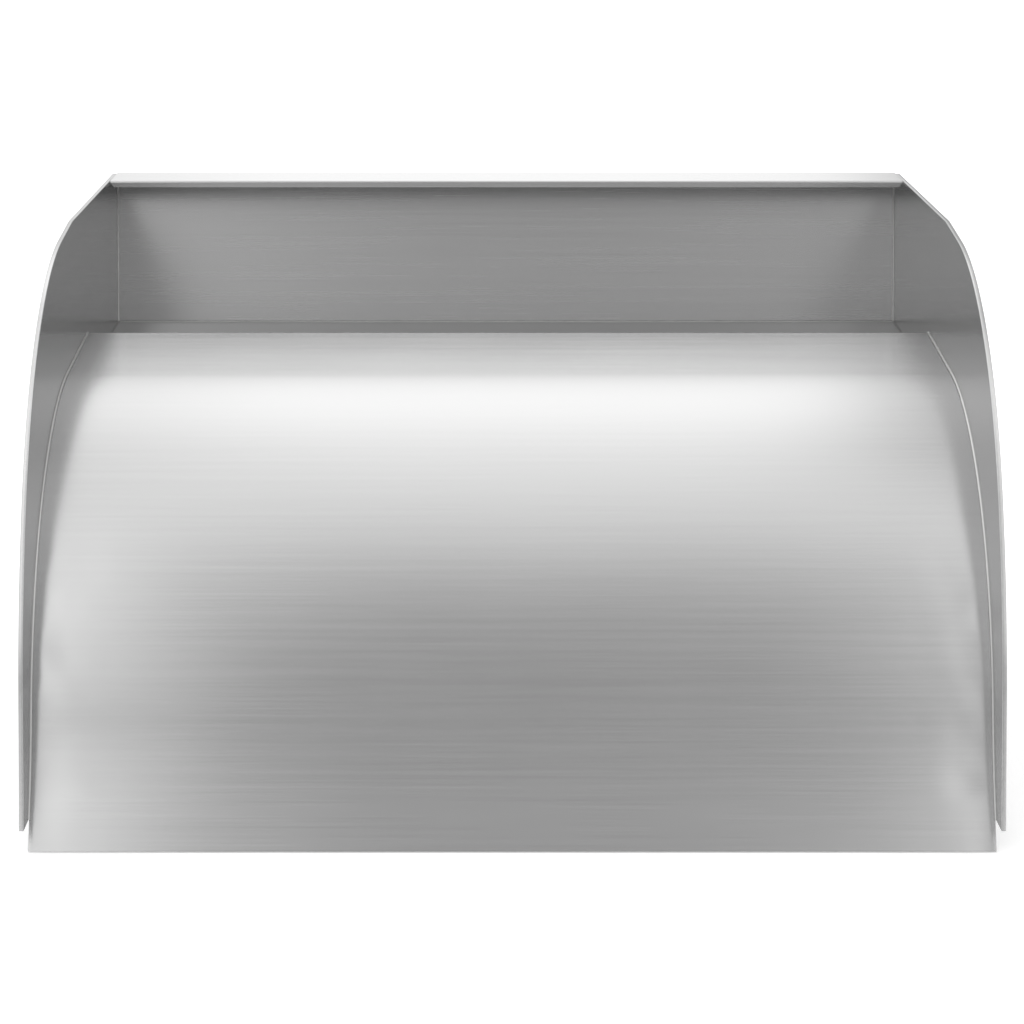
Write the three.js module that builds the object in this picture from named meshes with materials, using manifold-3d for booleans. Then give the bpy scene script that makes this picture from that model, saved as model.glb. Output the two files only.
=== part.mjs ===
// Wide stainless-steel wave slide for small children: two cheek plates, one bed sheet that rolls
// over from a raised crest to a steep flared run-out, a sunk standing strip, a leaning rear wall
// with a forward flange, and a welded and bolted frame underneath.
// Millimetres, +X to the slide's right, +Y to the back, +Z up. The origin is on the ground, under
// the middle of the slide.

import * as THREE from 'three';
import Module from 'manifold-3d';
import { mergeVertices } from 'three/addons/utils/BufferGeometryUtils.js';

const wasm = await Module();
wasm.setup();

// ---- driving dimensions -------------------------------------------------------------------
// y here counts backwards from the cheeks' lower front corner, and z counts up from the ground.

const WIDTH = 1000;             // over both cheeks
const DEPTH = 956;              // lower front corner to the back of the rear wall
const TOP = 578.4;              // top edge of the cheeks and top face of the flange
const GAP = 0.3;                // joint clearance between touching pieces

const CHEEK = {
  thickness: 5,
  bottom: 30,                   // height of the lower edge over the ground
  shoulderY: 514.7,             // where the level top edge starts to fall
  shoulderFall: 5.4,            // degrees below level just after the shoulder
  shoulderRun: 91,
  nose: { radius: 416.7, angle: 55.9 },
  front: { radius: 713.7, angle: 17.6 },
  rearCorner: 15,               // radius of the upper rear corner
};

const SHEET = 3;                // thickness of bed, floor and rear wall
const INNER = WIDTH / 2 - CHEEK.thickness - GAP;

const BED = {
  crestY: 619.5,                // back face of the crest's upstand
  crestZ: 432.2,
  bend: 6,                      // outer radius of the crest bend
  landFall: 4.1,                // degrees below level on the flat land behind the roll-over
  landRun: 185.5,
  roll: { radius: 399.5, angle: 70 },
  flare: { radius: 515, angle: 10 },
};

const FLOOR = {
  top: 391.3,
  frontY: 600,
  drain: { radius: 10, y: 640, count: 4, pitch: 200 },
};

const WALL = {
  lean: 11,                     // degrees from upright, top further back
  flangeY: 869.5,               // front face of the flange's lip
  lipBottom: 570.2,
  lipBend: 3,
  backBend: 6,
  foot: 376,
  sideNotch: 5,                 // lip and flange corner stop this far from the cheeks
};

const TUBE = { size: 40, wall: 3 };
const CROSS_TUBES = {
  front: { y: 240, z: 287 },
  middle: { y: 540, z: 378 },
  rear: { y: 760, z: 349 },
};

const RIB = {
  thickness: 5,
  depth: 95,                    // measured square to the bed
  pitch: 247.5,
  floorBottom: 310,
  rearY: 910,
  lowestZ: 64,
  holes: { radius: 20, angles: [24, 56] },
};

const GUSSET = { top: 540, backY: 955.5 };

const LEG = { size: 50, wall: 3, x: 330 };
const BASE_PLATE = { size: 150, thickness: 8, holeRadius: 7, holePitch: 110 };
const SADDLE = { thickness: 5, earTop: 12 };
const BOLT = { radius: 5, play: 0.5, length: 72, headRadius: 9.8, headHeight: 6.4, nutHeight: 8 };
const WASHER = { radius: 10, thickness: 2 };
const PAD = { size: 80, thickness: 5, drop: 8 };    // its centre sits lower than the tube's
const EDGE_BAR = { width: 38, thickness: 5 };
const BEAD = 2.5;

const STEEL = {
  cheek: [0xb4b5b6, 0.34],
  bed: [0xc4c5c6, 0.28],
  panel: [0xa9aaab, 0.36],
  frame: [0x9a9c9e, 0.5],
  weld: [0xd0d1d2, 0.3],
  fastener: [0xaeb0b2, 0.3],
};

// Coarseness of the curves: degrees in one step of a path, and sides of a round.
const STEP = { sweep: 2.5, corner: 8, bend: 12 };
const FACETS = { hole: 24, bolt: 16, hexagon: 6 };
const SAME_POINT = 1e-4;        // vertices closer than this are one

// ---- outlines -----------------------------------------------------------------------------

const rad = THREE.MathUtils.degToRad;

// A pen that walks along a profile in the (y, z) plane and notes where it was and how it headed.
class Pen {
  constructor(y, z, heading) {
    this.y = y;
    this.z = z;
    this.heading = heading;
    this.stations = [{ y, z, heading }];
  }

  note() {
    this.stations.push({ y: this.y, z: this.z, heading: this.heading });
    return this;
  }

  go(distance) {
    this.y += distance * Math.cos(rad(this.heading));
    this.z += distance * Math.sin(rad(this.heading));
    return this.note();
  }

  // Follows an arc; a positive angle turns left.
  turn(radius, angle, step = STEP.sweep) {
    const count = Math.max(2, Math.ceil(Math.abs(angle) / step));
    const side = Math.sign(angle);
    const centreY = this.y - side * radius * Math.sin(rad(this.heading));
    const centreZ = this.z + side * radius * Math.cos(rad(this.heading));
    for (let i = 0; i < count; i += 1) {
      this.heading += angle / count;
      this.y = centreY + side * radius * Math.sin(rad(this.heading));
      this.z = centreZ - side * radius * Math.cos(rad(this.heading));
      this.note();
    }
    return this;
  }
}

// The stations moved square to their heading; a positive distance moves them left.
function offset(stations, distance) {
  return stations.map(({ y, z, heading }) => [
    y - distance * Math.sin(rad(heading)),
    z + distance * Math.cos(rad(heading)),
  ]);
}

// Closed outline of a bent sheet between two offsets of one path.
function band(stations, near, far) {
  return [...offset(stations, near), ...offset(stations, far).reverse()];
}

function cheekOutline() {
  const { bottom, shoulderY, shoulderFall, shoulderRun, nose, front, rearCorner } = CHEEK;
  const pen = new Pen(rearFaceY(bottom), bottom, 90 - WALL.lean);
  const cornerAngle = 90 + WALL.lean;
  const reach = rearCorner * Math.tan(rad(cornerAngle) / 2);
  const edge = (TOP - bottom) / Math.cos(rad(WALL.lean));
  pen.go(edge - reach).turn(rearCorner, cornerAngle, STEP.corner);
  pen.go(pen.y - shoulderY);
  pen.heading += shoulderFall;
  pen.go(shoulderRun).turn(nose.radius, nose.angle).turn(front.radius, front.angle);
  pen.go((pen.z - bottom) / -Math.sin(rad(pen.heading)));
  return offset(pen.stations, 0);
}

// Top skin of the bed, from the foot of the crest's upstand to the lower edge.
function bedPath() {
  const { crestY, crestZ, bend, landFall, landRun, roll, flare } = BED;
  const pen = new Pen(crestY, FLOOR.top + GAP, 90);
  pen.go(crestZ - bend - FLOOR.top - GAP).turn(bend, 90 + landFall, STEP.bend);
  pen.go(landRun).turn(roll.radius, roll.angle).turn(flare.radius, -flare.angle);
  const drop = pen.z + SHEET * Math.cos(rad(pen.heading));
  pen.go(drop / -Math.sin(rad(pen.heading)));
  return pen.stations;
}

// Outer skin of the rear wall sheet, from the lip's lower edge over the flange to the foot.
function wallPath() {
  const pen = new Pen(WALL.flangeY, WALL.lipBottom, 90);
  pen.go(TOP - WALL.lipBend - WALL.lipBottom).turn(WALL.lipBend, -90, STEP.bend);
  pen.go(DEPTH - WALL.backBend - pen.y).turn(WALL.backBend, -90 - WALL.lean, STEP.bend);
  pen.go((pen.z - WALL.foot) / Math.cos(rad(WALL.lean)));
  return pen.stations;
}

// Distance back to the rear wall's outer face at a height.
function rearFaceY(z) {
  const bendY = DEPTH - WALL.backBend;
  const bendZ = TOP - WALL.backBend;
  const fall = (bendZ - z) * Math.sin(rad(WALL.lean));
  return bendY + (WALL.backBend - fall) / Math.cos(rad(WALL.lean));
}

// The same for the front face, or for a place further in front of it.
function wallFrontY(z, clear = 0) {
  return rearFaceY(z) - (SHEET + clear) / Math.cos(rad(WALL.lean));
}

// ---- solids -------------------------------------------------------------------------------

function shapeOf(points, holes = []) {
  const shape = new THREE.Shape(points.map(([u, v]) => new THREE.Vector2(u, v)));
  for (const hole of holes) {
    shape.holes.push(new THREE.Path(hole.map(([u, v]) => new THREE.Vector2(u, v))));
  }
  return shape;
}

function circle(u, v, radius, sides = FACETS.hole) {
  return Array.from({ length: sides }, (_, i) => {
    const angle = (2 * Math.PI * i) / sides;
    return [u + radius * Math.cos(angle), v + radius * Math.sin(angle)];
  });
}

function square(u, v, size) {
  const h = size / 2;
  return [[u - h, v - h], [u + h, v - h], [u + h, v + h], [u - h, v + h]];
}

const extrude = (shape, depth) =>
  new THREE.ExtrudeGeometry(shape, { depth, bevelEnabled: false, curveSegments: 1 });

// Local (x, y) of the shape become world (y, z), and the extrusion runs from x0 to x1.
function acrossX(shape, x0, x1) {
  const turn = new THREE.Matrix4().makeBasis(
    new THREE.Vector3(0, 1, 0), new THREE.Vector3(0, 0, 1), new THREE.Vector3(1, 0, 0));
  return extrude(shape, x1 - x0).applyMatrix4(turn).translate(x0, 0, 0);
}

// Local (x, y) become world (z, x), and the extrusion runs from y0 to y1.
function alongY(shape, y0, y1) {
  const turn = new THREE.Matrix4().makeBasis(
    new THREE.Vector3(0, 0, 1), new THREE.Vector3(1, 0, 0), new THREE.Vector3(0, 1, 0));
  return extrude(shape, y1 - y0).applyMatrix4(turn).translate(0, y0, 0);
}

const upZ = (shape, z0, z1) => extrude(shape, z1 - z0).translate(0, 0, z0);

function toManifold(geometry) {
  const bare = geometry.clone();
  bare.deleteAttribute('normal');
  bare.deleteAttribute('uv');
  const merged = mergeVertices(bare, SAME_POINT);
  return new wasm.Manifold(new wasm.Mesh({
    numProp: 3,
    vertProperties: new Float32Array(merged.attributes.position.array),
    triVerts: new Uint32Array(merged.index.array),
  }));
}

function toGeometry(solid) {
  const mesh = solid.getMesh();
  const geometry = new THREE.BufferGeometry();
  geometry.setAttribute('position', new THREE.BufferAttribute(mesh.vertProperties, 3));
  geometry.setIndex(new THREE.BufferAttribute(mesh.triVerts, 1));
  return geometry;
}

function cut(geometry, ...tools) {
  const solid = tools.reduce((left, tool) => left.subtract(toManifold(tool)), toManifold(geometry));
  return toGeometry(solid);
}

// ---- sub-parts ----------------------------------------------------------------------------

const slide = new THREE.Group();
slide.position.y = -DEPTH / 2;

function add(name, geometry, [color, roughness]) {
  const material = new THREE.MeshStandardMaterial({ color, roughness, metalness: 1 });
  const mesh = new THREE.Mesh(geometry, material);
  mesh.name = name;
  slide.add(mesh);
}

const SIDES = [['left', -1], ['right', 1]];

// An extrusion across X between two distances from the middle, on the named side.
function onSide(shape, sign, near, far) {
  return sign < 0 ? acrossX(shape, -far, -near) : acrossX(shape, near, far);
}

function addCheeks() {
  const shape = shapeOf(cheekOutline());
  for (const [side, sign] of SIDES) {
    const plate = onSide(shape, sign, WIDTH / 2 - CHEEK.thickness, WIDTH / 2);
    add(`cheek_${side}`, plate, STEEL.cheek);
  }
}

function addSheets(bed, wall) {
  add('slide_bed', acrossX(shapeOf(band(bed, 0, SHEET)), -INNER, INNER), STEEL.bed);

  const backY = wallFrontY(FLOOR.top) - 3 * GAP;
  const outline = [
    [-INNER, FLOOR.frontY], [INNER, FLOOR.frontY], [INNER, backY], [-INNER, backY],
  ];
  const { radius, y, count, pitch } = FLOOR.drain;
  const drains = Array.from({ length: count }, (_, i) =>
    circle((i - (count - 1) / 2) * pitch, y, radius));
  const floor = upZ(shapeOf(outline, drains), FLOOR.top - SHEET, FLOOR.top);
  add('standing_floor', floor, STEEL.panel);

  const sheet = acrossX(shapeOf(band(wall, 0, -SHEET)), -INNER, INNER);
  const lipHeight = TOP - SHEET - WALL.lipBottom;
  const notches = SIDES.map(([, sign]) => {
    const notch = new THREE.BoxGeometry(2 * WALL.sideNotch, 4 * SHEET, 2 * lipHeight);
    return notch.translate(sign * INNER, WALL.flangeY, WALL.lipBottom);
  });
  add('rear_wall', cut(sheet, ...notches), STEEL.panel);
}

// The weld beads are square strips laid in the corners that they fill.
function addWelds(bed, wall) {
  const crest = bed.findIndex(({ heading }) => heading >= 180);
  const { y, z, heading } = bed.at(-2);
  const edgeRun = (z - CHEEK.bottom - BEAD) / -Math.sin(rad(heading));
  const bedRun = [...bed.slice(crest, -2), ...new Pen(y, z, heading).go(edgeRun).stations];
  const [head, foot] = wall.slice(-2);
  const low = FLOOR.top + GAP;
  const high = low + BEAD;
  const wallRun = [head, { ...foot, y: rearFaceY(high + GAP), z: high + GAP }];
  const face = SHEET + GAP;
  const crestSide = BED.crestY + GAP;
  const wallSide = wallFrontY(FLOOR.top, GAP);
  const front = crestSide + BEAD + GAP;
  const back = wallSide - BEAD - 2 * GAP;
  const floorRun = [[front, low], [back, low], [back, high], [front, high]];
  for (const [side, sign] of SIDES) {
    const strip = (outline) => onSide(shapeOf(outline), sign, INNER - BEAD, INNER);
    add(`weld_bed_${side}`, strip(band(bedRun, -GAP, -GAP - BEAD)), STEEL.weld);
    add(`weld_wall_${side}`, strip(band(wallRun, -face, -face - BEAD)), STEEL.weld);
    add(`weld_floor_${side}`, strip(floorRun), STEEL.weld);
  }
  const across = (midY) => acrossX(shapeOf(square(midY, low + BEAD / 2, BEAD)), -INNER, INNER);
  add('weld_crest', across(crestSide + BEAD / 2), STEEL.weld);
  add('weld_wall_foot', across(wallSide - BEAD / 2), STEEL.weld);
}

// Ribs hang under the floor and follow the underside of the bed; the cross tubes run through.
function addRibs(bed) {
  const skin = SHEET + GAP;
  const land = bed.findIndex(({ heading }) => heading > 180);
  const under = offset(bed.slice(land), skin).filter(([y, z]) => y < FLOOR.frontY && z > RIB.lowestZ);
  const inner = offset(bed.slice(land), RIB.depth).filter(([, z]) => z > RIB.lowestZ);
  const floorUnder = FLOOR.top - skin;
  const front = FLOOR.frontY - GAP;
  const landFall = Math.tan(rad(BED.landFall));
  const outline = [
    [RIB.rearY, RIB.floorBottom],
    [RIB.rearY, floorUnder],
    [front, floorUnder],
    [front, BED.crestZ - skin - (BED.crestY - front) * landFall],
    ...under,
    ...inner.reverse(),
    [front + RIB.depth / 2, RIB.floorBottom],
  ];
  const tubes = Object.values(CROSS_TUBES).map(({ y, z }) => square(y, z, TUBE.size + 2 * GAP));
  const roll = bed.findLast(({ heading }) => heading < 181 + BED.landFall);
  const middle = BED.roll.radius - (RIB.depth + SHEET) / 2;
  const centre = [
    roll.y - BED.roll.radius * Math.sin(rad(roll.heading)),
    roll.z + BED.roll.radius * Math.cos(rad(roll.heading)),
  ];
  const holes = RIB.holes.angles.map((angle) => {
    const heading = rad(roll.heading + angle);
    const y = centre[0] + middle * Math.sin(heading);
    const z = centre[1] - middle * Math.cos(heading);
    return circle(y, z, RIB.holes.radius);
  });
  const shape = shapeOf(outline, [...tubes, ...holes]);

  const gussetOutline = [
    [RIB.rearY + GAP, RIB.floorBottom],
    [GUSSET.backY, RIB.floorBottom],
    [GUSSET.backY, GUSSET.top],
    [rearFaceY(GUSSET.top) + GAP, GUSSET.top],
    [rearFaceY(WALL.foot) + GAP, WALL.foot - 2 * GAP],
    [RIB.rearY + GAP, WALL.foot - 2 * GAP],
  ];
  for (const [place, x] of [['left', -RIB.pitch], ['middle', 0], ['right', RIB.pitch]]) {
    const half = RIB.thickness / 2;
    add(`bed_rib_${place}`, acrossX(shape, x - half, x + half), STEEL.frame);
    const plate = acrossX(shapeOf(gussetOutline), x - half, x + half);
    add(`wall_gusset_${place}`, plate, STEEL.frame);
  }
}

// A flat bar behind the straight part of the bed's lower edge.
function addEdgeBar(bed) {
  const { y, z, heading } = bed.at(-2);
  const run = new Pen(y, z, heading).go(EDGE_BAR.width).stations;
  const near = SHEET + GAP;
  const outline = band(run, near, near + EDGE_BAR.thickness);
  add('edge_bar', acrossX(shapeOf(outline), -INNER, INNER), STEEL.frame);
}

function boltHoles(z, y0, y1) {
  const radius = BOLT.radius + BOLT.play;
  return SIDES.map(([, sign]) => alongY(shapeOf(circle(z, sign * LEG.x, radius)), y0, y1));
}

function addCrossTubes() {
  const half = INNER - PAD.thickness - GAP;
  for (const [place, { y, z }] of Object.entries(CROSS_TUBES)) {
    const bore = square(y, z, TUBE.size - 2 * TUBE.wall);
    let tube = acrossX(shapeOf(square(y, z, TUBE.size), [bore]), -half, half);
    if (place !== 'middle') {
      tube = cut(tube, ...boltHoles(z, y - TUBE.size, y + TUBE.size));
    }
    add(`cross_tube_${place}`, tube, STEEL.frame);
    const outline = shapeOf(square(y, z - PAD.drop, PAD.size));
    for (const [side, sign] of SIDES) {
      const pad = onSide(outline, sign, INNER - PAD.thickness, INNER);
      add(`tube_pad_${place}_${side}`, pad, STEEL.frame);
    }
  }
}

// Each leg: a square tube on a drilled base plate, under a saddle bolted through a cross tube.
function addLegs() {
  for (const place of ['front', 'rear']) {
    const { y, z } = CROSS_TUBES[place];
    const inside = TUBE.size / 2 + GAP;
    const outside = inside + SADDLE.thickness;
    const saddleOutline = [
      [y - outside, z - outside], [y + outside, z - outside], [y + outside, z + SADDLE.earTop],
      [y + inside, z + SADDLE.earTop], [y + inside, z - inside], [y - inside, z - inside],
      [y - inside, z + SADDLE.earTop], [y - outside, z + SADDLE.earTop],
    ];
    for (const [side, sign] of SIDES) {
      const x = sign * LEG.x;
      const saddle = acrossX(shapeOf(saddleOutline), x - LEG.size / 2, x + LEG.size / 2);
      const holes = boltHoles(z, y - LEG.size, y + LEG.size);
      add(`saddle_${place}_${side}`, cut(saddle, ...holes), STEEL.frame);

      const bore = square(x, y, LEG.size - 2 * LEG.wall);
      const tube = shapeOf(square(x, y, LEG.size), [bore]);
      const foot = BASE_PLATE.thickness + GAP;
      add(`leg_${place}_${side}`, upZ(tube, foot, z - outside - GAP), STEEL.frame);

      const corners = square(x, y, BASE_PLATE.holePitch);
      const drilled = corners.map(([u, v]) => circle(u, v, BASE_PLATE.holeRadius, FACETS.bolt));
      const plate = shapeOf(square(x, y, BASE_PLATE.size), drilled);
      add(`base_plate_${place}_${side}`, upZ(plate, 0, BASE_PLATE.thickness), STEEL.frame);

      const bolthole = circle(z, x, BOLT.radius + GAP, FACETS.bolt);
      const ring = shapeOf(circle(z, x, WASHER.radius), [bolthole]);
      const front = y - outside - GAP;
      const back = y + outside + GAP;
      const name = `${place}_${side}`;
      add(`washer_front_${name}`, alongY(ring, front - WASHER.thickness, front), STEEL.fastener);
      add(`washer_back_${name}`, alongY(ring, back, back + WASHER.thickness), STEEL.fastener);

      const headBack = front - WASHER.thickness - GAP;
      const hexagon = circle(z, x, BOLT.headRadius, FACETS.hexagon);
      const head = alongY(shapeOf(hexagon), headBack - BOLT.headHeight, headBack);
      const thread = shapeOf(circle(z, x, BOLT.radius, FACETS.bolt));
      const shank = alongY(thread, headBack - BOLT.headHeight / 2, headBack + BOLT.length);
      const bolt = toGeometry(toManifold(head).add(toManifold(shank)));
      add(`saddle_bolt_${name}`, bolt, STEEL.fastener);

      const nutFront = back + WASHER.thickness + GAP;
      const nut = shapeOf(hexagon, [bolthole]);
      add(`saddle_nut_${name}`, alongY(nut, nutFront, nutFront + BOLT.nutHeight), STEEL.fastener);
    }
  }
}

const bed = bedPath();
const wall = wallPath();
addCheeks();
addSheets(bed, wall);
addWelds(bed, wall);
addRibs(bed);
addEdgeBar(bed);
addCrossTubes();
addLegs();

export default slide;
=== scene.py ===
"""Wave slide in brushed stainless steel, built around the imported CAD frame.

Lengths in the shape functions are millimetres in the frame's own axes (+X to the slide's right,
+Y to the back, +Z up); add_piece turns them into metres. Places come from the frame's boxes, and
the driving dimensions give the outlines between them.
"""

import math

import bmesh
import bpy
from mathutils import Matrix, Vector, noise
from mathutils.geometry import tessellate_polygon


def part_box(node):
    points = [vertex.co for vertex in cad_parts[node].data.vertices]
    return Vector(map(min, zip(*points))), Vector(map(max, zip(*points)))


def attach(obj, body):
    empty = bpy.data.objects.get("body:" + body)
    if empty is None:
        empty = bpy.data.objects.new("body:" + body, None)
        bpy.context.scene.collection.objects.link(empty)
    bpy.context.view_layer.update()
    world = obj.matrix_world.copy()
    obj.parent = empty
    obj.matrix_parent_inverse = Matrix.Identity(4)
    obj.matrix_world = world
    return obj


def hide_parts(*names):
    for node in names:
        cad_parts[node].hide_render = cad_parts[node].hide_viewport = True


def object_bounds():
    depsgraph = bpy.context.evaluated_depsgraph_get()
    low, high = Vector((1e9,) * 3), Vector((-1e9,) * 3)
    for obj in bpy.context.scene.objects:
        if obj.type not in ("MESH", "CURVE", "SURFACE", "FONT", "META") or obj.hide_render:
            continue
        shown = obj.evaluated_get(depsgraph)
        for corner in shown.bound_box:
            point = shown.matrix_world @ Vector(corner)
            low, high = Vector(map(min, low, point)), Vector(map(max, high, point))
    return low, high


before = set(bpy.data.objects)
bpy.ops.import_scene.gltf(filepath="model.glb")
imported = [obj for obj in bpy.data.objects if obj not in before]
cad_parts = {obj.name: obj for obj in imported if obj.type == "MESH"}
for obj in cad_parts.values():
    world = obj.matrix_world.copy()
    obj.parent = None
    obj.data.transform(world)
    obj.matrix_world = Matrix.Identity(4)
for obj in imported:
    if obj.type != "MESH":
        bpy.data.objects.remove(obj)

cad_low, cad_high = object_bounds()
MM = 0.001

# ---- driving dimensions -------------------------------------------------------------------
# Millimetres and degrees; lip_bottom, floor_bottom and lowest are heights above the ground.

SIDES = (("left", -1), ("right", 1))
GAP = 0.3                       # between pieces that meet
SHEET = 3
LEVEL = 180                     # heading of a level path that runs to the front
CHEEK = {
    "shoulder": 514.7,          # level top edge starts to fall this far behind the front corner
    "fall": 5.4,
    "run": 91,
    "nose": (416.7, 55.9),      # radius and angle, as in the other arcs
    "front": (713.7, 17.6),
    "rear_corner": 15,
}
BED = {
    "bend": 6,
    "land_fall": 4.1,
    "land_run": 185.5,
    "roll": (399.5, 70),
    "flare": (515, 10),
}
WALL = {
    "lean": 11,
    "lip_bottom": 570.2,
    "lip_bend": 3,
    "back_bend": 6,
    "notch": 5,                 # the lip stops this far short of the sheet's ends
    "corner": 8,                # radius of the flange's far corners
    "corner_drop": 14,          # how far down the back those corners are cut
}
DRAIN = {"radius": 10, "behind_crest": 20.5, "count": 4, "pitch": 200}
TUBE_WALL = 3
RIB = {"depth": 95, "floor_bottom": 310, "lowest": 64, "hole": 20, "angles": (24, 56)}
ANCHOR_HOLE = {"radius": 7, "pitch": 110}
EDGE_BAR = 5
BEAD = {
    "size": 1.6,
    "small": 1.4,
    "pitch": 2.4,               # from one ripple to the next
    "ripple": 0.07,             # how much the ripples, and the welder's hand, change its size
    "uneven": 0.14,
    "below_top": 3,             # the wall's beads end this far under the flange
    "above_edge": 0.5,          # and the bed's this far over the cheeks' lower edge
}
BOLT = {
    "radius": 5,
    "pitch": 1.5,
    "plain": 52,                # shank without thread, from the front washer on
    "root": 0.75,               # how far the thread's root and its crest are under the radius
    "crest": 0.05,
    "point": 0.8,               # length of the chamfer at the end
}
HEXAGON = {"round": 0.88, "head_chamfer": 1.3, "nut_chamfer": 0.9}

# Width of the rounding along each kind of piece's cut edges.
EDGE = {"cheek": 0.9, "bed": 0.4, "wall": 0.3, "floor": 0.5, "rib": 0.5, "bar": 0.5, "tube": 0.4,
        "pad": 0.6, "plate": 0.8, "saddle": 0.6, "washer": 0.3}
# Radius of the corners in each outline.
CORNER = {"rib_window": 3, "tube": 5, "tube_bore": 2.5, "pad": 10, "leg": 6, "leg_bore": 3,
          "plate": 12, "saddle": 1.5}

# Columns of points across the sheets: fine beside the bed's welds and coarse between them.
BED_COLUMNS = {"fine": 3.5, "fine_count": 23, "coarse": 30, "coarse_count": 13}
WALL_COLUMNS = range(-450, 451, 90)
# How far the bed is out of true: near its welds low down, and over the whole sheet.
WARP = {
    "weld_depth": 0.45,
    "weld_reach": 24,
    "weld_size": (36, 30),      # size of the dips across and down
    "sheet_depth": 0.3,
    "sheet_size": (210, 150),
    "sunk": 0.5,                # keeps the whole sheet inside its box
    "below_crest": 60,          # the dips beside the welds start here and are full further down
    "full_after": 160,
    "true_edges": (1, 8),       # the lower edge and the crest stay straight
}
# Places where the bed was pulled in beside its welds: x, z, depth, reach.
DENTS = [(466, 68, 0.3, 15), (474, 118, 0.08, 16), (-478, 88, 0.14, 13), (-470, 58, 0.12, 12)]

# ---- finish values ------------------------------------------------------------------------

# Brushed grain per metre, across it and along it, and the share of each layer in the mix.
HAIRLINES = (1400, 6)
STREAKS = (170, 1.6)
PATCHES = (5, 5, 5)
SHARES = (0.45, 0.35, 0.2)
TINT_SPAN = (-0.4, 1.4)         # keeps the mix clear of both ends of the tint
ROUGHNESS_SPAN = 0.07
GRAIN_DEPTH = 0.0005
# A plate's face turns into its ground edge between these values of its normal's X.
EDGE_FACING = (0.75, 0.95)

# ---- studio values ------------------------------------------------------------------------

# Lens in millimetres, pitch in degrees, places in metres.
CAMERA = {"lens": 107.2, "pitch": 13.549, "in_front": 2.9266, "height": 1.0679, "side": -0.0327,
          "shift": 0.031}
# Studio brightness by the angle over the front horizon: 0.5 is straight up, 1 the horizon behind.
SKY = [(0.0, 0.38), (0.12, 0.44), (0.25, 0.52), (0.33, 0.72), (0.4, 1.08), (0.5, 1.32),
       (0.62, 1.5), (0.7, 1.86), (0.77, 1.9), (0.82, 1.66), (0.87, 1.52), (0.95, 1.42)]
SKY_SCALE = 2.2
# Lighter boxes low in front on both sides and darker ones high behind: start, fade, strength.
SIDE_BOX = {"left": (0.098, 0.03, 1.05), "right": (0.138, 0.03, 0.85)}
SIDE_SHADE = {"left": (0.07, 0.09, 0.24), "right": (0.116, 0.034, 0.6)}
BOX_END = (0.16, 0.5, 0.7)      # the boxes lose this share of their strength between the two
# How much of the boxes and of the shades there is at each of the angles used in SKY.
BOX_HEIGHTS = [(0.0, 1), (0.03, 0.6), (0.055, 0.1), (0.1, 1), (0.3, 1), (0.46, 0)]
SHADE_HEIGHTS = [(0.45, 0), (0.6, 1)]
BACKDROP = 1.1
# The floor is pale, and turns darker between two places well in front of the slide, in metres.
# This is a painted pool of light: the darker floor in front is painted shade, and the glow near
# and behind the slide is painted light.
FLOOR = {"radius": 14, "under": 0.0005, "painted_shade": 0.42, "pale": 0.9, "from": -2.2, "to": -1.0,
         "roughness": 0.9, "painted_glow": 0.35}

# ---- outlines -----------------------------------------------------------------------------


class Pen:
    """Walks along a profile in the (y, z) plane and notes where it was and how it headed."""

    def __init__(self, y, z, heading):
        self.y, self.z, self.heading = y, z, heading
        self.stations = [(y, z, heading)]

    def go(self, distance, step=40):
        count = max(1, math.ceil(distance / step))
        for _ in range(count):
            self.y += distance / count * math.cos(math.radians(self.heading))
            self.z += distance / count * math.sin(math.radians(self.heading))
            self.stations.append((self.y, self.z, self.heading))
        return self

    def turn(self, radius, angle, step=1.0):
        """Follows an arc; a positive angle turns left."""
        count = max(2, math.ceil(abs(angle) / step))
        reach = math.copysign(radius, angle)
        centre_y = self.y - reach * math.sin(math.radians(self.heading))
        centre_z = self.z + reach * math.cos(math.radians(self.heading))
        for _ in range(count):
            self.heading += angle / count
            self.y = centre_y + reach * math.sin(math.radians(self.heading))
            self.z = centre_z - reach * math.cos(math.radians(self.heading))
            self.stations.append((self.y, self.z, self.heading))
        return self


def offset(stations, distance):
    """The stations moved square to their heading; a positive distance moves them left."""
    moved = []
    for y, z, heading in stations:
        turn = math.radians(heading)
        moved.append((y - distance * math.sin(turn), z + distance * math.cos(turn)))
    return moved


def band(stations, near, far):
    return offset(stations, near) + offset(stations, far)[::-1]


def between(stations, bottom, top):
    """The part of a falling path between two heights."""
    kept = []
    for here, ahead in zip(stations, stations[1:]):
        if bottom < here[1] < top:
            kept.append(here)
        for height in (top, bottom):
            if here[1] > height >= ahead[1]:
                t = (here[1] - height) / (here[1] - ahead[1])
                kept.append(tuple(p + (q - p) * t for p, q in zip(here, ahead)))
    return kept


def box_mm(name):
    low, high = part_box(name)
    return low / MM, high / MM


cheek_low, _ = box_mm("cheek_left")
bed_low, bed_high = box_mm("slide_bed")
floor_low, floor_high = box_mm("standing_floor")
wall_low, wall_high = box_mm("rear_wall")
TOP = wall_high.z
LEAN = math.radians(WALL["lean"])


def rear_face(z):
    """How far back the rear wall's outer face is at a height."""
    bend = WALL["back_bend"]
    fall = (TOP - bend - z) * math.sin(LEAN)
    return wall_high.y - bend + (bend - fall) / math.cos(LEAN)


def cheek_outline():
    bottom = cheek_low.z
    pen = Pen(rear_face(bottom), bottom, 90 - WALL["lean"])
    corner = CHEEK["rear_corner"]
    reach = corner * math.tan(math.radians(90 + WALL["lean"]) / 2)
    pen.go((TOP - bottom) / math.cos(LEAN) - reach).turn(corner, 90 + WALL["lean"], 5)
    pen.go(pen.y - cheek_low.y - CHEEK["shoulder"])
    pen.heading += CHEEK["fall"]
    pen.go(CHEEK["run"]).turn(*CHEEK["nose"]).turn(*CHEEK["front"])
    pen.go((pen.z - bottom) / -math.sin(math.radians(pen.heading)))
    return offset(pen.stations, 0)


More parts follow.
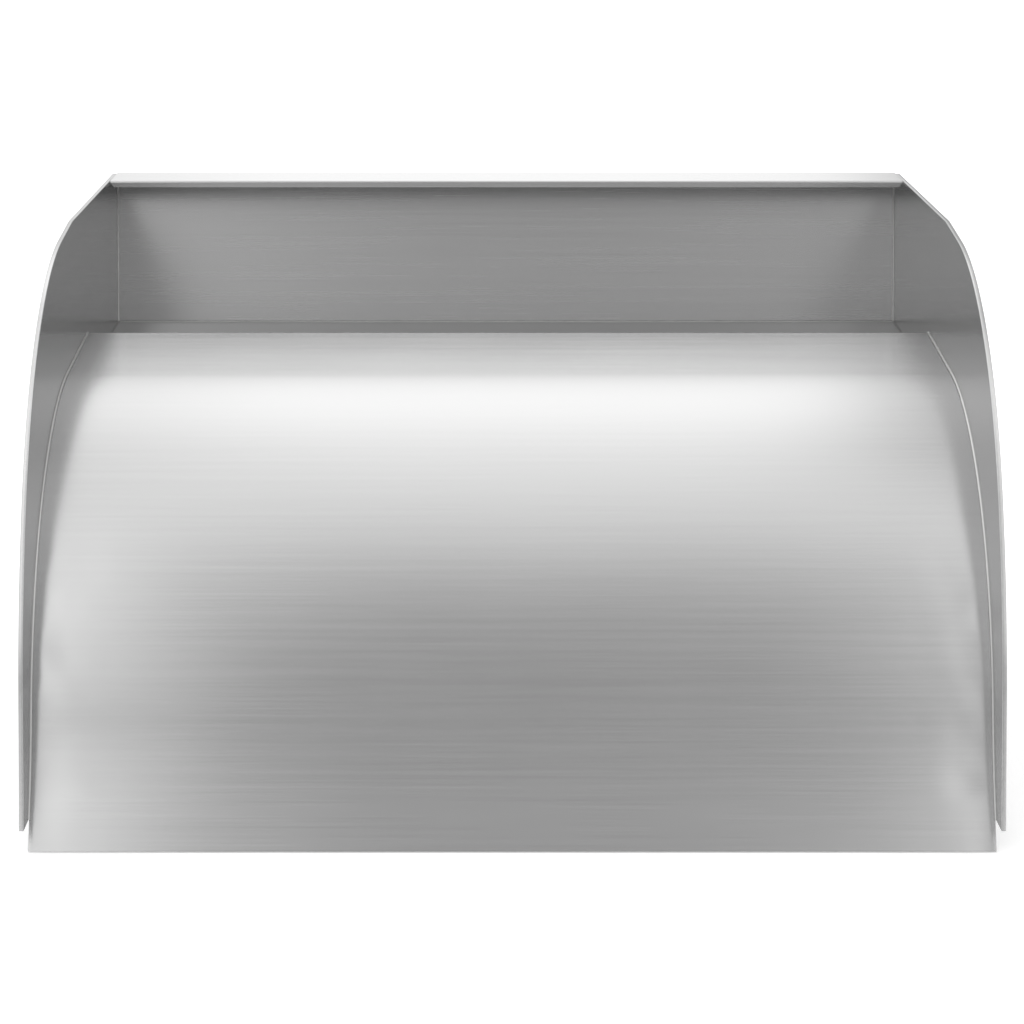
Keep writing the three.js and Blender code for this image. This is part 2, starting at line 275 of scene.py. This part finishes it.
def bed_path():
    """Top skin of the bed, from the foot of the crest's upstand to the lower edge."""
    start = floor_high.z + GAP
    pen = Pen(bed_high.y, start, 90)
    pen.go(bed_high.z - BED["bend"] - start).turn(BED["bend"], 90 + BED["land_fall"], 8)
    pen.go(BED["land_run"], 20).turn(*BED["roll"])
    pen.turn(BED["flare"][0], -BED["flare"][1])
    turn = math.radians(pen.heading)
    return pen.go((pen.z - bed_low.z + SHEET * math.cos(turn)) / -math.sin(turn)).stations


def wall_path():
    """Outer skin of the rear wall, from the lip's edge over the flange to the foot."""
    pen = Pen(wall_low.y, WALL["lip_bottom"], 90)
    pen.go(TOP - WALL["lip_bend"] - WALL["lip_bottom"]).turn(WALL["lip_bend"], -90, 10)
    pen.go(wall_high.y - WALL["back_bend"] - pen.y, 10)
    pen.turn(WALL["back_bend"], -90 - WALL["lean"], 8)
    return pen.go((pen.z - wall_low.z) / math.cos(LEAN)).stations


def circle(u, v, radius, sides=40):
    return [(u + radius * math.cos(math.tau * i / sides),
             v + radius * math.sin(math.tau * i / sides)) for i in range(sides)]


def fillet(points, radius, steps=5):
    """A closed polygon with every corner rounded."""
    loop = []
    for i, point in enumerate(points):
        here = Vector(point)
        back = Vector(points[i - 1]) - here
        ahead = Vector(points[(i + 1) % len(points)]) - here
        half = back.angle(ahead) / 2
        reach = min(radius / math.tan(half), back.length * 0.45, ahead.length * 0.45)
        start = here + back.normalized() * reach
        end = here + ahead.normalized() * reach
        for k in range(steps + 1):
            t = k / steps
            loop.append(tuple((1 - t) ** 2 * start + 2 * t * (1 - t) * here + t ** 2 * end))
    return loop


def square(u, v, size):
    h = size / 2
    return [(u - h, v - h), (u + h, v - h), (u + h, v + h), (u - h, v + h)]


# ---- solids -------------------------------------------------------------------------------


def along_x(u, v, w):
    return (w, u, v)


def along_y(u, v, w):
    return (v, w, u)


def along_z(u, v, w):
    return (u, v, w)


def inset(loop, distance):
    moved = []
    for i, (u, v) in enumerate(loop):
        before = (Vector((u, v)) - Vector(loop[i - 1])).normalized()
        after = (Vector(loop[(i + 1) % len(loop)]) - Vector((u, v))).normalized()
        first = Vector((-before.y, before.x))
        middle = (first + Vector((-after.y, after.x))).normalized()
        reach = distance / max(0.4, middle.dot(first))
        moved.append((u + middle.x * reach, v + middle.y * reach))
    return moved


def turned(loop, clockwise=False):
    area = sum(loop[i - 1][0] * v - u * loop[i - 1][1] for i, (u, v) in enumerate(loop))
    return loop[::-1] if (area < 0) != clockwise else loop


def rounded(start, end, edge, stops=(), steps=3):
    """Levels of an extrusion with rounded ends, as (distance, inset) pairs."""
    levels = []
    for k in range(steps + 1):
        angle = math.pi / 2 * k / steps
        levels.append((start + edge * (1 - math.cos(angle)), edge * (1 - math.sin(angle))))
    levels += [(w, 0) for w in stops]
    for k in range(steps, -1, -1):
        angle = math.pi / 2 * k / steps
        levels.append((end - edge * (1 - math.cos(angle)), edge * (1 - math.sin(angle))))
    return levels


def extrude(outer, holes, levels, place):
    """Points and faces of an outline with holes, run through the levels and capped."""
    loops = [turned(outer)] + [turned(hole, True) for hole in holes]
    total = sum(len(loop) for loop in loops)
    points, faces = [], []
    for w, inward in levels:
        for loop in loops:
            points += [place(u, v, w) for u, v in inset(loop, inward)]
    for level in range(len(levels) - 1):
        base = level * total
        for loop in loops:
            for i in range(len(loop)):
                a, b = base + i, base + (i + 1) % len(loop)
                faces.append((a, b, b + total, a + total))
            base += len(loop)
    for level in (0, len(levels) - 1):
        inward = levels[level][1]
        rings = [[Vector((u, v, 0)) for u, v in inset(loop, inward)] for loop in loops]
        faces += [[level * total + k for k in face] for face in tessellate_polygon(rings)]
    return points, faces


def lathe(axis_point, levels, sides=48):
    """Rings around an axis along Y, as (distance, radius function) pairs, capped."""
    x, y, z = axis_point
    points, faces = [], []
    for distance, radius in levels:
        for i in range(sides):
            angle = math.tau * i / sides
            r = radius(angle) if callable(radius) else radius
            points.append((x + r * math.sin(angle), y + distance, z + r * math.cos(angle)))
    for level in range(len(levels) - 1):
        for i in range(sides):
            a, b = level * sides + i, level * sides + (i + 1) % sides
            faces.append((a, b, b + sides, a + sides))
    faces.append(tuple(range(sides)))
    faces.append(tuple(range(len(points) - sides, len(points))))
    return points, faces


def resample(path, step):
    """Points with directions every step along a polyline of (point, side, up) stations."""
    out = []
    for (p, side, up), (q, side2, up2) in zip(path, path[1:]):
        count = max(1, round((q - p).length / step))
        for k in range(count):
            t = k / count
            out.append((p.lerp(q, t), side.lerp(side2, t).normalized(),
                        up.lerp(up2, t).normalized()))
    out.append(path[-1])
    return out


def bead(path, size=BEAD["size"]):
    """A fillet weld with overlapping ripples along a path of (corner, side, up) stations."""
    pitch = BEAD["pitch"]
    stations = resample(path, pitch / 3)
    shape = [(0, 0), (1, 0), (0.84, 0.33), (0.64, 0.64), (0.33, 0.84), (0, 1)]
    points, faces = [], []
    travelled = 0
    last = stations[0][0]
    for p, side, up in stations:
        travelled += (p - last).length
        last = p
        ripple = 1 + BEAD["ripple"] * math.cos(math.tau * travelled / pitch)
        ripple += BEAD["uneven"] * noise.noise(Vector((travelled / 14, p.x / 50, p.z / 60)))
        width = size * ripple
        points += [tuple(p + side * (a * width) + up * (b * width)) for a, b in shape]
    n = len(shape)
    for k in range(len(stations) - 1):
        for i in range(n):
            a, b = k * n + i, k * n + (i + 1) % n
            faces.append((a, b, b + n, a + n))
    faces += [tuple(range(n)), tuple(range(len(points) - n, len(points)))]
    return points, faces


def add_piece(name, shape, material, replaced, sharp=38):
    """Makes a piece that stands for CAD nodes; edges over sharp degrees stay crisp."""
    points, faces = shape
    mesh = bpy.data.meshes.new(name)
    mesh.from_pydata([Vector(p) * MM for p in points], [], faces)
    work = bmesh.new()
    work.from_mesh(mesh)
    bmesh.ops.recalc_face_normals(work, faces=work.faces)
    work.to_mesh(mesh)
    work.free()
    mesh.shade_smooth()
    mesh.set_sharp_from_angle(angle=math.radians(sharp))
    mesh.materials.append(material)
    piece = bpy.data.objects.new(name, mesh)
    bpy.context.scene.collection.objects.link(piece)
    piece.modifiers.new("even_normals", "WEIGHTED_NORMAL").keep_sharp = True
    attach(piece, "root")
    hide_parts(*replaced)


# ---- node helpers -------------------------------------------------------------------------


def math_node(tree, operation, a, b=None):
    node = tree.nodes.new("ShaderNodeMath")
    node.operation = operation
    for socket, value in zip(node.inputs, (a, b)):
        if isinstance(value, (int, float)):
            socket.default_value = value
        elif value is not None:
            tree.links.new(value, socket)
    return node.outputs[0]


def ramp(tree, value, stops):
    node = tree.nodes.new("ShaderNodeValToRGB")
    node.color_ramp.interpolation = "LINEAR"
    elements = node.color_ramp.elements
    while len(elements) < len(stops):
        elements.new(0.5)
    for element, (position, level) in zip(elements, stops):
        element.position = position
        element.color = (level, level, level, 1)
    tree.links.new(value, node.inputs[0])
    return node.outputs[0]


def spread(tree, value, low, high, start=0.0, end=1.0):
    node = tree.nodes.new("ShaderNodeMapRange")
    node.inputs["From Min"].default_value = start
    node.inputs["From Max"].default_value = end
    node.inputs["To Min"].default_value = low
    node.inputs["To Max"].default_value = high
    tree.links.new(value, node.inputs["Value"])
    return node.outputs[0]


def stretched_noise(tree, scale, detail):
    coords = tree.nodes.new("ShaderNodeTexCoord").outputs["Object"]
    mapping = tree.nodes.new("ShaderNodeMapping")
    mapping.inputs["Scale"].default_value = scale
    tree.links.new(coords, mapping.inputs["Vector"])
    texture = tree.nodes.new("ShaderNodeTexNoise")
    texture.inputs["Scale"].default_value = 1
    texture.inputs["Detail"].default_value = detail
    tree.links.new(mapping.outputs[0], texture.inputs["Vector"])
    return texture.outputs["Fac"]


# ---- materials ----------------------------------------------------------------------------


def steel(name, shade, roughness, along="", anisotropy=0.0, contrast=0.05, bump=0.02, edge=1.0,
          grazing=1.0):
    """Stainless steel with grain along one axis ("X", "Y" or "Z"), or unbrushed with "".

    edge is how much lighter the ground edges are than the plate's X faces, and grazing how much
    of its gloss the steel keeps when seen along its surface.
    """
    material = bpy.data.materials.new(name)
    material.use_nodes = True
    tree = material.node_tree
    shader = tree.nodes["Principled BSDF"]
    shader.inputs["Metallic"].default_value = 1
    shader.inputs["Anisotropic"].default_value = anisotropy
    shader.inputs["Specular Tint"].default_value = (grazing, grazing, grazing, 1)

    def grain(across, lengthwise):
        if not along:
            return (across, across, across)
        return tuple(lengthwise if axis == along else across for axis in "XYZ")

    hairlines = stretched_noise(tree, grain(*HAIRLINES), 3)
    streaks = stretched_noise(tree, grain(*STREAKS), 5)
    patches = stretched_noise(tree, PATCHES, 3)
    layers = [math_node(tree, "MULTIPLY", layer, share)
              for layer, share in zip((hairlines, streaks, patches), SHARES)]
    mixed = math_node(tree, "ADD", math_node(tree, "ADD", layers[0], layers[1]), layers[2])

    tint = tree.nodes.new("ShaderNodeMix")
    tint.data_type = "RGBA"
    tree.links.new(spread(tree, mixed, *TINT_SPAN), tint.inputs["Factor"])
    tint.inputs["A"].default_value = [c * (1 - contrast) for c in shade] + [1]
    tint.inputs["B"].default_value = [min(1, c * (1 + contrast)) for c in shade] + [1]
    color = tint.outputs["Result"]
    if edge != 1.0:
        split = tree.nodes.new("ShaderNodeSeparateXYZ")
        tree.links.new(tree.nodes.new("ShaderNodeTexCoord").outputs["Normal"], split.inputs[0])
        facing = math_node(tree, "ABSOLUTE", split.outputs["X"])
        lift = tree.nodes.new("ShaderNodeMix")
        lift.data_type = "RGBA"
        lift.blend_type = "MULTIPLY"
        lift.inputs["Factor"].default_value = 1
        tree.links.new(color, lift.inputs["A"])
        tree.links.new(spread(tree, facing, edge, 1.0, *EDGE_FACING), lift.inputs["B"])
        color = lift.outputs["Result"]
    tree.links.new(color, shader.inputs["Base Color"])
    gloss = spread(tree, mixed, roughness - ROUGHNESS_SPAN, roughness + ROUGHNESS_SPAN)
    tree.links.new(gloss, shader.inputs["Roughness"])

    relief = tree.nodes.new("ShaderNodeBump")
    relief.inputs["Strength"].default_value = bump
    relief.inputs["Distance"].default_value = GRAIN_DEPTH
    tree.links.new(hairlines, relief.inputs["Height"])
    tree.links.new(relief.outputs[0], shader.inputs["Normal"])
    if anisotropy and along:
        tangent = tree.nodes.new("ShaderNodeTangent")
        tangent.direction_type = "RADIAL"
        tangent.axis = along
        tree.links.new(tangent.outputs[0], shader.inputs["Tangent"])
    return material


def grey(level):
    return (level, level, level)


BED_STEEL = steel("bed_steel", grey(0.55), 0.24, "X", anisotropy=0.9, contrast=0.06)
PANEL_STEEL = steel("panel_steel", grey(0.54), 0.26, "X", anisotropy=0.4, contrast=0.03,
                    bump=0.002)
FLOOR_STEEL = steel("floor_steel", grey(0.52), 0.3, "X", anisotropy=0.4)
CHEEK_STEEL = steel("cheek_steel", grey(0.55), 0.2, "Y", contrast=0.1, edge=1.1, grazing=0.7)
FRAME_STEEL = steel("frame_steel", (0.5, 0.5, 0.495), 0.42, contrast=0.12, bump=0.05)
WELD_STEEL = steel("weld", (0.6, 0.6, 0.595), 0.34, contrast=0.12, bump=0.05)
DULL_WELD = steel("dull_weld", (0.4, 0.4, 0.395), 0.42, contrast=0.15, bump=0.05, grazing=0.5)
FASTENER_STEEL = steel("fastener", (0.58, 0.58, 0.57), 0.26, contrast=0.08, bump=0.03)

# ---- pieces -------------------------------------------------------------------------------

bed = bed_path()
wall = wall_path()
half_bed = bed_high.x


def first_past(heading):
    """Index of the bed's first station more than half a degree past a heading."""
    return next(i for i, station in enumerate(bed) if station[2] > heading + 0.5)


land_start = first_past(LEVEL)
roll_y, roll_z, roll_heading = bed[first_past(LEVEL + BED["land_fall"]) - 1]
roll_turn = math.radians(roll_heading)
# Centre of the roll-over, as y and z.
ROLL_CENTRE = Vector((roll_y - BED["roll"][0] * math.sin(roll_turn),
                      roll_z + BED["roll"][0] * math.cos(roll_turn)))


def add_cheeks():
    outline = cheek_outline()
    for side, _ in SIDES:
        low, high = box_mm(f"cheek_{side}")
        levels = rounded(low.x, high.x, EDGE["cheek"])
        add_piece(f"{side}_cheek", extrude(outline, [], levels, along_x),
                  CHEEK_STEEL, [f"cheek_{side}"])


def bed_place(y, z, x):
    """The bed is pulled slightly out of true beside its welds, and a little all over."""
    from_weld = half_bed - abs(x)
    out = Vector((y, z)) - ROLL_CENTRE
    share = (bed_high.z - WARP["below_crest"] - z) / WARP["full_after"]
    pull = WARP["weld_depth"] * math.exp(-from_weld / WARP["weld_reach"])
    pull *= max(0.0, min(1.0, share))
    across, down = WARP["weld_size"]
    pull *= noise.noise(Vector((from_weld / across, z / down, math.copysign(7, x))))
    for at_x, at_z, depth, reach in DENTS:
        pull -= depth * math.exp(-((x - at_x) ** 2 + (z - at_z) ** 2) / (2 * reach ** 2))
    across, down = WARP["sheet_size"]
    wave = WARP["sheet_depth"] * noise.noise(Vector((x / across, z / down, 3)))
    lower, upper = WARP["true_edges"]
    if z < bed_low.z + lower or z > bed_high.z - upper:
        pull = wave = 0
    out = out.normalized() * min(0.0, pull + wave - WARP["sunk"])
    return (x, y + out.x, z + out.y)


def add_bed():
    fine, fine_count = BED_COLUMNS["fine"], BED_COLUMNS["fine_count"]
    coarse, coarse_count = BED_COLUMNS["coarse"], BED_COLUMNS["coarse_count"]
    near = [half_bed - fine * k for k in range(1, fine_count + 1)]
    inner = [near[-1] - coarse * k for k in range(1, coarse_count + 1)]
    columns = sorted([s * x for s in (-1, 1) for x in near + inner] + [0])
    levels = rounded(-half_bed, half_bed, EDGE["bed"], columns)
    outline = band(bed, 0, SHEET)
    add_piece("bed_sheet", extrude(outline, [], levels, bed_place), BED_STEEL,
              ["slide_bed"])


def wall_place(y, z, x):
    """The lip stops short of the cheeks and the flange's far corners are cut round."""
    half = wall_high.x
    if z < TOP - SHEET and y < wall_low.y + SHEET + GAP:
        half -= WALL["notch"]
    corner = WALL["corner"]
    beyond = y - (wall_high.y - corner)
    if beyond > 0 and z > TOP - WALL["corner_drop"]:
        half -= corner - math.sqrt(max(0.0, corner ** 2 - min(beyond, corner) ** 2))
    return (max(-half, min(half, x)), y, z)


def add_wall():
    levels = rounded(-wall_high.x, wall_high.x, EDGE["wall"], WALL_COLUMNS)
    add_piece("wall_sheet", extrude(band(wall, 0, -SHEET), [], levels, wall_place),
              PANEL_STEEL, ["rear_wall"])


def add_standing_floor():
    outline = [(floor_low.x, floor_low.y), (floor_high.x, floor_low.y),
               (floor_high.x, floor_high.y), (floor_low.x, floor_high.y)]
    drain_y = bed_high.y + DRAIN["behind_crest"]
    spots = [(i - (DRAIN["count"] - 1) / 2) * DRAIN["pitch"] for i in range(DRAIN["count"])]
    drains = [circle(x, drain_y, DRAIN["radius"]) for x in spots]
    levels = rounded(floor_low.z, floor_high.z, EDGE["floor"])
    add_piece("floor_plate", extrude(outline, drains, levels, along_z),
              FLOOR_STEEL, ["standing_floor"])


def add_welds():
    up = Vector((0, 0, 1))
    back = Vector((0, 1, 0))
    run = between(bed[land_start:], cheek_low.z + BEAD["above_edge"], bed_high.z + 1)
    inner = wall_high.x
    foot_y = rear_face(floor_high.z) - SHEET / math.cos(LEAN)
    head_z = TOP - SHEET - BEAD["below_top"]
    head_y = rear_face(head_z) - SHEET / math.cos(LEAN)
    out_of_wall = Vector((0, -math.cos(LEAN), -math.sin(LEAN)))
    for side, sign in SIDES:
        inward = Vector((-sign, 0, 0))
        x = sign * (inner + GAP)
        path = []
        for y, z, heading in run:
            turn = math.radians(heading)
            path.append((Vector((x, y, z)), inward, Vector((0, math.sin(turn), -math.cos(turn)))))
        add_piece(f"bed_bead_{side}", bead(path), WELD_STEEL, [f"weld_bed_{side}"])
        path = [(Vector((x, foot_y, floor_high.z)), inward, out_of_wall),
                (Vector((x, head_y, head_z)), inward, out_of_wall)]
        add_piece(f"wall_bead_{side}", bead(path, BEAD["small"]), WELD_STEEL,
                  [f"weld_wall_{side}"])
        path = [(Vector((x, bed_high.y, floor_high.z)), inward, up),
                (Vector((x, foot_y, floor_high.z)), inward, up)]
        add_piece(f"floor_bead_{side}", bead(path, BEAD["small"]), DULL_WELD,
                  [f"weld_floor_{side}"])
    ends = (-inner, inner)
    path = [(Vector((x, bed_high.y, floor_high.z)), back, up) for x in ends]
    add_piece("crest_bead", bead(path), DULL_WELD, ["weld_crest"])
    path = [(Vector((x, foot_y, floor_high.z)), -back, up) for x in ends]
    add_piece("wall_foot_bead", bead(path), DULL_WELD, ["weld_wall_foot"])


def tube_centre(place):
    low, high = box_mm(f"cross_tube_{place}")
    return (low.y + high.y) / 2, (low.z + high.z) / 2, high.y - low.y


def add_ribs():
    lowest = RIB["lowest"]
    under = offset(bed[land_start:], SHEET + GAP)
    under = [(y, z) for y, z in under if y < floor_low.y and z > lowest]
    inner = [(y, z) for y, z in offset(bed[land_start:], RIB["depth"]) if z > lowest]
    _, rear_high = box_mm("bed_rib_middle")
    front = floor_low.y - GAP
    floor_under = floor_low.z - GAP
    under_land = rear_high.z
    outline = [(rear_high.y, RIB["floor_bottom"]), (rear_high.y, floor_under),
               (front, floor_under), (front, under_land)]
    outline += under + inner[::-1] + [(front + RIB["depth"] / 2, RIB["floor_bottom"])]
    holes = []
    for place in ("front", "middle", "rear"):
        y, z, size = tube_centre(place)
        holes.append(fillet(square(y, z, size + 2 * GAP), CORNER["rib_window"]))
    middle = BED["roll"][0] - (RIB["depth"] + SHEET) / 2
    for angle in RIB["angles"]:
        turn = math.radians(roll_heading + angle)
        y = ROLL_CENTRE.x + middle * math.sin(turn)
        z = ROLL_CENTRE.y - middle * math.cos(turn)
        holes.append(circle(y, z, RIB["hole"]))
    for place in ("left", "middle", "right"):
        low, high = box_mm(f"bed_rib_{place}")
        levels = rounded(low.x, high.x, EDGE["rib"])
        add_piece(f"{place}_rib", extrude(outline, holes, levels, along_x),
                  FRAME_STEEL, [f"bed_rib_{place}"])

        low, high = box_mm(f"wall_gusset_{place}")
        shelf = wall_low.z - 2 * GAP
        gusset = [(low.y, low.z), (high.y, low.z), (high.y, high.z),
                  (rear_face(high.z) + GAP, high.z), (rear_face(wall_low.z) + GAP, shelf),
                  (low.y, shelf)]
        levels = rounded(low.x, high.x, EDGE["rib"])
        add_piece(f"{place}_gusset", extrude(gusset, [], levels, along_x),
                  FRAME_STEEL, [f"wall_gusset_{place}"])


def add_edge_bar():
    low, high = box_mm("edge_bar")
    near = SHEET + GAP
    far = near + EDGE_BAR
    fall = -math.cos(math.radians(bed[-1][2]))
    # Square ends: the far side's lower corner and the near side's upper one reach the box.
    outline = band(between(bed, low.z + far * fall, high.z + near * fall), near, far)
    levels = rounded(low.x, high.x, EDGE["bar"])
    add_piece("lower_bar", extrude(outline, [], levels, along_x), FRAME_STEEL,
              ["edge_bar"])


def add_tubes():
    for place in ("front", "middle", "rear"):
        name = f"cross_tube_{place}"
        low, high = box_mm(name)
        y, z, size = tube_centre(place)
        outer = fillet(square(y, z, size), CORNER["tube"])
        bore = fillet(square(y, z, size - 2 * TUBE_WALL), CORNER["tube_bore"])
        levels = rounded(low.x, high.x, EDGE["tube"])
        add_piece(f"{place}_tube", extrude(outer, [bore], levels, along_x),
                  FRAME_STEEL, [name])
        for side, _ in SIDES:
            name = f"tube_pad_{place}_{side}"
            low, high = box_mm(name)
            centre = (low + high) / 2
            outline = fillet(square(centre.y, centre.z, high.y - low.y), CORNER["pad"])
            levels = rounded(low.x, high.x, EDGE["pad"])
            add_piece(f"{place}_pad_{side}", extrude(outline, [], levels, along_x),
                      FRAME_STEEL, [name])


def hexagon(across_corners):
    """Radius of a hexagon at an angle."""
    flat = across_corners * math.cos(math.pi / 6)
    return lambda angle: flat / math.cos((angle + math.pi / 6) % (math.pi / 3) - math.pi / 6)


def add_leg(spot):
    low, high = box_mm(f"leg_{spot}")
    centre = (low + high) / 2
    size = high.x - low.x
    outer = fillet(square(centre.x, centre.y, size), CORNER["leg"])
    bore = fillet(square(centre.x, centre.y, size - 2 * TUBE_WALL), CORNER["leg_bore"])
    levels = rounded(low.z, high.z, EDGE["tube"])
    add_piece(f"{spot}_leg", extrude(outer, [bore], levels, along_z), FRAME_STEEL,
              [f"leg_{spot}"])

    low, high = box_mm(f"base_plate_{spot}")
    outline = fillet(square(centre.x, centre.y, high.x - low.x), CORNER["plate"])
    holes = [circle(u, v, ANCHOR_HOLE["radius"])
             for u, v in square(centre.x, centre.y, ANCHOR_HOLE["pitch"])]
    levels = rounded(low.z, high.z, EDGE["plate"])
    add_piece(f"{spot}_plate", extrude(outline, holes, levels, along_z),
              FRAME_STEEL, [f"base_plate_{spot}"])


def add_saddle(place, spot):
    """A block with an open slot on top that the cross tube lies in."""
    low, high = box_mm(f"saddle_{spot}")
    y, z, size = tube_centre(place)
    inside = size / 2 + GAP
    outline = [(low.y, low.z), (high.y, low.z), (high.y, high.z), (y + inside, high.z),
               (y + inside, z - inside), (y - inside, z - inside), (y - inside, high.z),
               (low.y, high.z)]
    outline = fillet(outline, CORNER["saddle"], 3)
    levels = rounded(low.x, high.x, EDGE["saddle"])
    add_piece(f"{spot}_saddle", extrude(outline, [], levels, along_x),
              FRAME_STEEL, [f"saddle_{spot}"])


def add_fasteners(spot):
    low, high = box_mm(f"saddle_bolt_{spot}")
    x, z = (low.x + high.x) / 2, (low.z + high.z) / 2
    corner = max(high.x - low.x, high.z - low.z) / 2
    six = hexagon(corner)
    flat = corner * HEXAGON["round"]
    washer_low, _ = box_mm(f"washer_front_{spot}")
    head = washer_low.y - GAP - low.y

    # The head's face, chamfer and flats, the small radius under it and the plain shank.
    radius, pitch = BOLT["radius"], BOLT["pitch"]
    levels = [(0, flat * 0.96), (0.2, flat), (HEXAGON["head_chamfer"], six), (head - 0.2, six),
              (head, lambda angle: min(six(angle), corner * 0.97)), (head, radius + 0.4),
              (head + 0.6, radius)]
    y = washer_low.y - low.y + BOLT["plain"]
    levels.append((y, radius))
    end = high.y - low.y
    while y + pitch < end - 1:
        levels += [(y + pitch * 0.5, radius - BOLT["root"]), (y + pitch, radius - BOLT["crest"])]
        y += pitch
    levels += [(end - BOLT["point"], radius - 0.1), (end, radius - 0.9)]
    add_piece(f"{spot}_bolt", lathe((x, low.y, z), levels), FASTENER_STEEL,
              [f"saddle_bolt_{spot}"], 50)

    low, high = box_mm(f"saddle_nut_{spot}")
    depth = high.y - low.y
    chamfer = HEXAGON["nut_chamfer"]
    bore = radius + GAP
    levels = [(0, bore), (0, flat), (chamfer, six), (depth - chamfer, six), (depth, flat),
              (depth, bore), (depth - 0.8, bore - 0.2), (0.8, bore - 0.2), (0, bore)]
    points, faces = lathe((x, low.y, z), levels)
    # The outline closes on itself, so the lathe's two end caps are left off.
    add_piece(f"{spot}_nut", (points, faces[:-2]), FASTENER_STEEL,
              [f"saddle_nut_{spot}"], 50)

    for where in ("front", "back"):
        name = f"washer_{where}_{spot}"
        low, high = box_mm(name)
        levels = rounded(low.y, high.y, EDGE["washer"], steps=2)
        rim = circle(z, x, (high.x - low.x) / 2)
        add_piece(f"{where}_washer_{spot}", extrude(rim, [circle(z, x, bore)], levels, along_y),
                  FASTENER_STEEL, [name], 50)


def add_supports():
    for place in ("front", "rear"):
        for side, _ in SIDES:
            spot = f"{place}_{side}"
            add_leg(spot)
            add_saddle(place, spot)
            add_fasteners(spot)


# ---- camera, light and floor --------------------------------------------------------------


def add_camera():
    data = bpy.data.cameras.new("camera")
    data.lens = CAMERA["lens"]
    data.sensor_width = 36
    data.shift_x = CAMERA["shift"]
    camera = bpy.data.objects.new("camera", data)
    bpy.context.scene.collection.objects.link(camera)
    camera.location = (CAMERA["side"], cad_low.y - CAMERA["in_front"], CAMERA["height"])
    camera.rotation_euler = (math.pi / 2 - math.radians(CAMERA["pitch"]), 0, 0)
    bpy.context.scene.camera = camera


def add_world():
    """White backdrop for the camera; the metal sees a soft studio that is brightest behind and
    over the slide, grey in front, with a lighter strip on each side of the grey."""
    world = bpy.data.worlds.new("studio")
    world.use_nodes = True
    bpy.context.scene.world = world
    tree = world.node_tree
    tree.nodes.clear()
    split = tree.nodes.new("ShaderNodeSeparateXYZ")
    tree.links.new(tree.nodes.new("ShaderNodeTexCoord").outputs["Generated"], split.inputs[0])
    x, y, z = split.outputs
    angle = math_node(tree, "ARCTAN2", z, math_node(tree, "MULTIPLY", y, -1.0))
    turn = math_node(tree, "DIVIDE", angle, math.pi)
    above = ramp(tree, turn, [(place, level / SKY_SCALE) for place, level in SKY])
    above = math_node(tree, "MULTIPLY", above, SKY_SCALE)
    low = ramp(tree, turn, BOX_HEIGHTS)
    high = ramp(tree, turn, SHADE_HEIGHTS)
    boxes = 0.0
    shades = 0.0
    for side, sign in SIDES:
        aside = math_node(tree, "MULTIPLY", x, sign)
        start, fade, strength = SIDE_BOX[side]
        box = spread(tree, aside, 0, strength, start, start + fade)
        start, end, loss = BOX_END
        box = math_node(tree, "MULTIPLY", box, spread(tree, aside, 1, 1 - loss, start, end))
        boxes = math_node(tree, "ADD", boxes, box)
        start, fade, strength = SIDE_SHADE[side]
        shades = math_node(tree, "ADD", shades,
                           spread(tree, aside, 0, strength, start, start + fade))
    kept = math_node(tree, "SUBTRACT", 1.0, math_node(tree, "MULTIPLY", shades, high))
    level = math_node(tree, "MULTIPLY", above, kept)
    level = math_node(tree, "ADD", level, math_node(tree, "MULTIPLY", boxes, low))

    studio = tree.nodes.new("ShaderNodeBackground")
    tree.links.new(level, studio.inputs["Color"])
    backdrop = tree.nodes.new("ShaderNodeBackground")
    backdrop.inputs["Color"].default_value = (1, 1, 1, 1)
    backdrop.inputs["Strength"].default_value = BACKDROP
    path = tree.nodes.new("ShaderNodeLightPath")
    mix = tree.nodes.new("ShaderNodeMixShader")
    tree.links.new(path.outputs["Is Camera Ray"], mix.inputs[0])
    tree.links.new(studio.outputs[0], mix.inputs[1])
    tree.links.new(backdrop.outputs[0], mix.inputs[2])
    out = tree.nodes.new("ShaderNodeOutputWorld")
    tree.links.new(mix.outputs[0], out.inputs["Surface"])
    bpy.context.scene.view_settings.view_transform = "Standard"


def add_floor():
    mesh = bpy.data.meshes.new("floor")
    work = bmesh.new()
    bmesh.ops.create_circle(work, cap_ends=True, segments=96, radius=FLOOR["radius"])
    work.to_mesh(mesh)
    work.free()
    floor = bpy.data.objects.new("floor", mesh)
    floor.location.z = cad_low.z - FLOOR["under"]
    bpy.context.scene.collection.objects.link(floor)
    material = bpy.data.materials.new("floor_with_painted_light")
    material.use_nodes = True
    tree = material.node_tree
    shader = tree.nodes["Principled BSDF"]
    split = tree.nodes.new("ShaderNodeSeparateXYZ")
    tree.links.new(tree.nodes.new("ShaderNodeTexCoord").outputs["Object"], split.inputs[0])
    # Painted shade and light: the floor's colour goes from a painted-shade grey in front of the
    # slide to pale near and behind it.
    near = spread(tree, split.outputs["Y"], 0, 1, FLOOR["from"], FLOOR["to"])
    tone = tree.nodes.new("ShaderNodeMix")
    tone.data_type = "RGBA"
    tree.links.new(near, tone.inputs["Factor"])
    tone.inputs["A"].default_value = (*grey(FLOOR["painted_shade"]), 1)
    tone.inputs["B"].default_value = (*grey(FLOOR["pale"]), 1)
    tree.links.new(tone.outputs["Result"], shader.inputs["Base Color"])
    shader.inputs["Roughness"].default_value = FLOOR["roughness"]
    shader.inputs["Specular IOR Level"].default_value = 0.0
    shader.inputs["Emission Color"].default_value = (1, 1, 1, 1)
    # Painted light: the pale part of the floor glows, though it is no lamp.
    tree.links.new(spread(tree, near, 0.0, FLOOR["painted_glow"]), shader.inputs["Emission Strength"])
    mesh.materials.append(material)


add_camera()
add_world()
add_floor()
add_cheeks()
add_bed()
add_wall()
add_standing_floor()
add_welds()
add_ribs()
add_edge_bar()
add_tubes()
add_supports()
